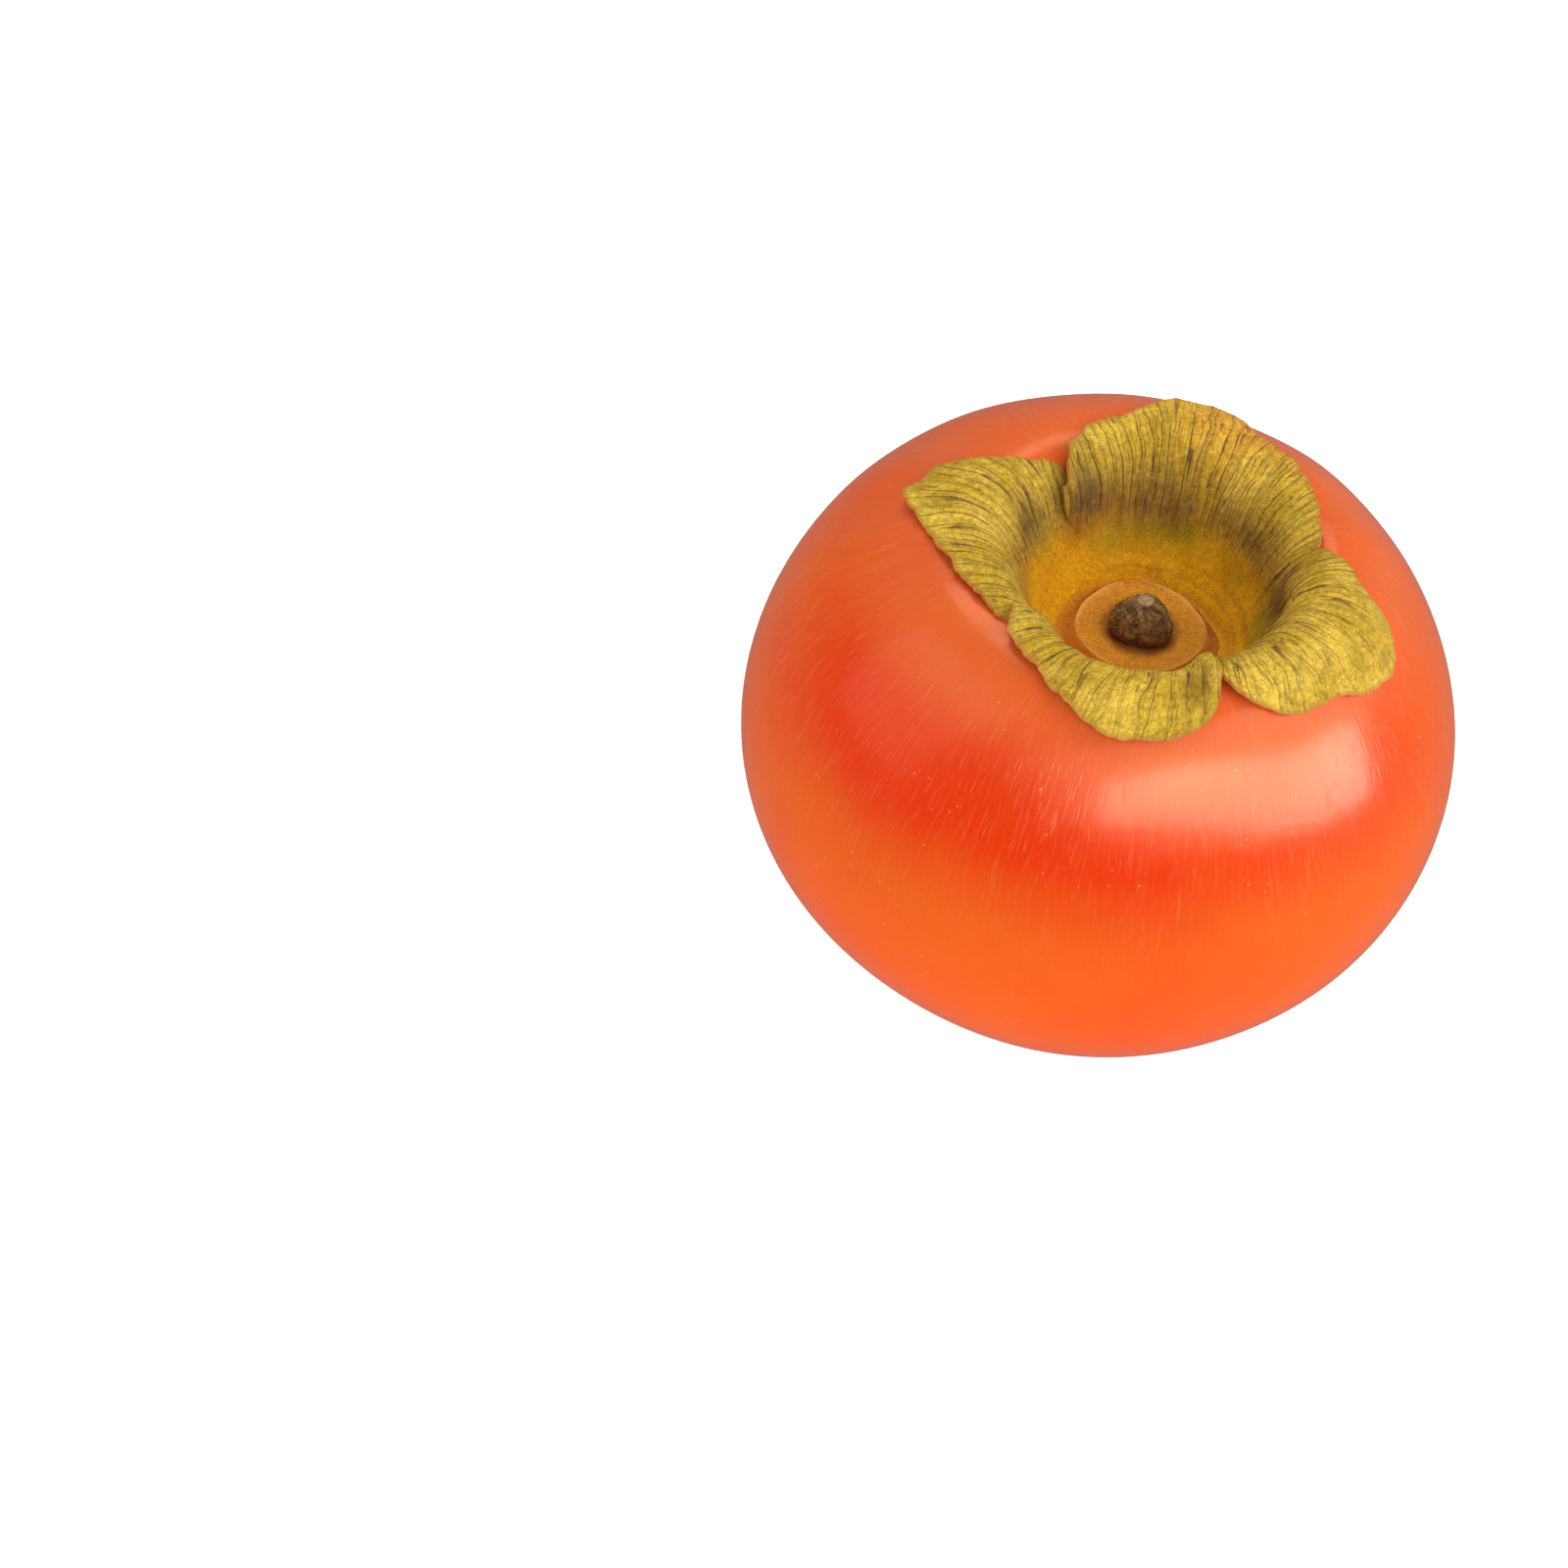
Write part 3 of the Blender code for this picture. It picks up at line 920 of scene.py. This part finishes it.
class PERSIMMON_OT_style(bpy.types.Operator):
    """Model the dry style in the dimple underneath, shrivelled and split at its tip"""

    bl_idname = "persimmon.style"
    bl_label = "Style tip"

    def execute(self, context):
        sheet = bmesh.new()
        bmesh.ops.create_uvsphere(sheet, u_segments=48, v_segments=36, radius=1.0)
        ball = places(sheet)
        angle = np.arctan2(ball[:, 1], ball[:, 0])
        middle = (STYLE_LOW.z + DIMPLE_DEPTH) / 2
        half = (DIMPLE_DEPTH - STYLE_LOW.z) / 2
        width = STYLE_HIGH.x * (0.62 + 0.38 * smooth(ball[:, 2], -1.0, 1.0)) * (1 + 0.16 * np.cos(4 * angle))
        points = np.stack([ball[:, 0] * width, ball[:, 1] * width, middle + ball[:, 2] * half], axis=-1)
        points[:, :2] *= (1 + 0.15 * noise_at(points, 2600.0))[:, None]
        move_all(sheet, points)
        style = finish_mesh("style_remnant", sheet)
        settle(style, "style_tip", style_material())
        return {"FINISHED"}


class PERSIMMON_OT_stage(bpy.types.Operator):
    """Set the pale floor, the soft studio lights and the camera"""

    bl_idname = "persimmon.stage"
    bl_label = "Stage"

    def execute(self, context):
        settings = context.scene.persimmon
        sheet = bmesh.new()
        bmesh.ops.create_grid(sheet, x_segments=8, y_segments=8, size=3.0)
        floor = finish_mesh("studio_floor", sheet)
        floor.data.materials.append(floor_material(settings))
        floor.visible_glossy = False
        self.make_world(context.scene)
        middle = Vector((0.0, 0.0, 0.47 * SHOULDER))
        for name, way, distance, size, power in LIGHTS:
            self.make_light(name, middle, Vector(way), distance, size, power * settings.light_power)
        glint = self.make_light("key_glint", middle, Vector(GLINT_WAY), 0.60, (1.20, 0.17), 9.0)
        glint.data.color = (1.0, 0.90, 0.86)
        glint.visible_diffuse = False
        facing = Vector(GLINT_WAY).normalized()
        along = (Vector(GLINT_ALONG) - Vector(GLINT_ALONG).dot(facing) * facing).normalized()
        glint.rotation_euler = Matrix((along, facing.cross(along), facing)).transposed().to_euler()
        self.make_camera(context.scene, settings, middle)
        context.scene.view_settings.view_transform = "Standard"
        return {"FINISHED"}

    def make_world(self, scene):
        world = bpy.data.worlds.new("studio")
        world.use_nodes = True
        sky = world.node_tree.nodes["Background"]
        sky.inputs["Color"].default_value = (1.0, 0.99, 0.98, 1.0)
        sky.inputs["Strength"].default_value = 0.24
        scene.world = world

    def make_light(self, name, middle, way, distance, size, power):
        lamp = bpy.data.lights.new(name, "AREA")
        lamp.shape = "RECTANGLE"
        lamp.size, lamp.size_y = size
        lamp.energy = power
        holder = bpy.data.objects.new(name, lamp)
        holder.location = middle + way.normalized() * distance
        holder.rotation_euler = way.to_track_quat("Z", "Y").to_euler()
        bpy.context.scene.collection.objects.link(holder)
        return holder

    def make_camera(self, scene, settings, middle):
        """Stands at -Y above the table, rolled a little, and aims beside the fruit."""
        back = Vector((0.0, -math.cos(settings.view_elevation), math.sin(settings.view_elevation)))
        right = Vector((1.0, 0.0, 0.0))
        up = back.cross(right)
        upright = Matrix((right, up, back)).transposed()
        roll = Matrix.Rotation(VIEW_ROLL, 3, "Z")
        aim = Vector((VIEW_ASIDE[0], VIEW_ASIDE[1], -1.0))
        turned = Vector((0.0, 0.0, -1.0)).rotation_difference(aim).to_matrix()
        eye = bpy.data.cameras.new("camera")
        eye.lens = 60.0
        eye.sensor_width = 36.0
        eye.clip_start = 0.01
        camera = bpy.data.objects.new("camera", eye)
        rotation = upright @ (turned @ roll.inverted()).transposed()
        camera.matrix_world = Matrix.Translation(middle + back * settings.view_distance) @ rotation.to_4x4()
        scene.collection.objects.link(camera)
        scene.camera = camera


# The camera's roll, and how far right of and above the view's middle the fruit's middle lies
VIEW_ROLL = math.radians(9.61)
VIEW_ASIDE = (0.1176, 0.0180)

# Where the strip stands whose reflection is the bright band on the shoulder, and the way it runs
GLINT_WAY = (0.75, -0.56, 0.35)
GLINT_ALONG = (0.65, 0.98, -0.50)

# Studio lights: name, direction from the fruit, distance, (width, height) and power
LIGHTS = [
    ("key_softbox", (0.45, -0.60, 0.66), 0.60, (1.10, 0.26), 2.1),
    ("left_fill", (-0.85, -0.30, 0.50), 0.80, (0.50, 0.60), 1.1),
    ("right_fill", (0.95, 0.10, 0.45), 0.80, (0.50, 0.60), 1.5),
    ("top_fill", (-0.10, 0.45, 0.90), 0.80, (0.50, 0.50), 2.5),
]


class PERSIMMON_PT_panel(bpy.types.Panel):
    """Lists the persimmon's pieces and settings"""

    bl_idname = "PERSIMMON_PT_panel"
    bl_label = "Persimmon"
    bl_space_type = "VIEW_3D"
    bl_region_type = "UI"
    bl_category = "Persimmon"

    def draw(self, context):
        for name in PersimmonSettings.__annotations__:
            self.layout.prop(context.scene.persimmon, name)
        for step in STEPS:
            self.layout.operator(step.bl_idname)


STEPS = (
    PERSIMMON_OT_fruit,
    PERSIMMON_OT_disc,
    PERSIMMON_OT_sepals,
    PERSIMMON_OT_stub,
    PERSIMMON_OT_style,
    PERSIMMON_OT_stage,
)
CLASSES = (PersimmonSettings, *STEPS, PERSIMMON_PT_panel)


def register():
    for cls in CLASSES:
        bpy.utils.register_class(cls)
    bpy.types.Scene.persimmon = bpy.props.PointerProperty(type=PersimmonSettings)


def unregister():
    del bpy.types.Scene.persimmon
    for cls in reversed(CLASSES):
        bpy.utils.unregister_class(cls)


def main():
    register()
    bpy.ops.persimmon.fruit()
    bpy.ops.persimmon.disc()
    bpy.ops.persimmon.sepals()
    bpy.ops.persimmon.stub()
    bpy.ops.persimmon.style()
    bpy.ops.persimmon.stage()


if __name__ == "__main__":
    main()
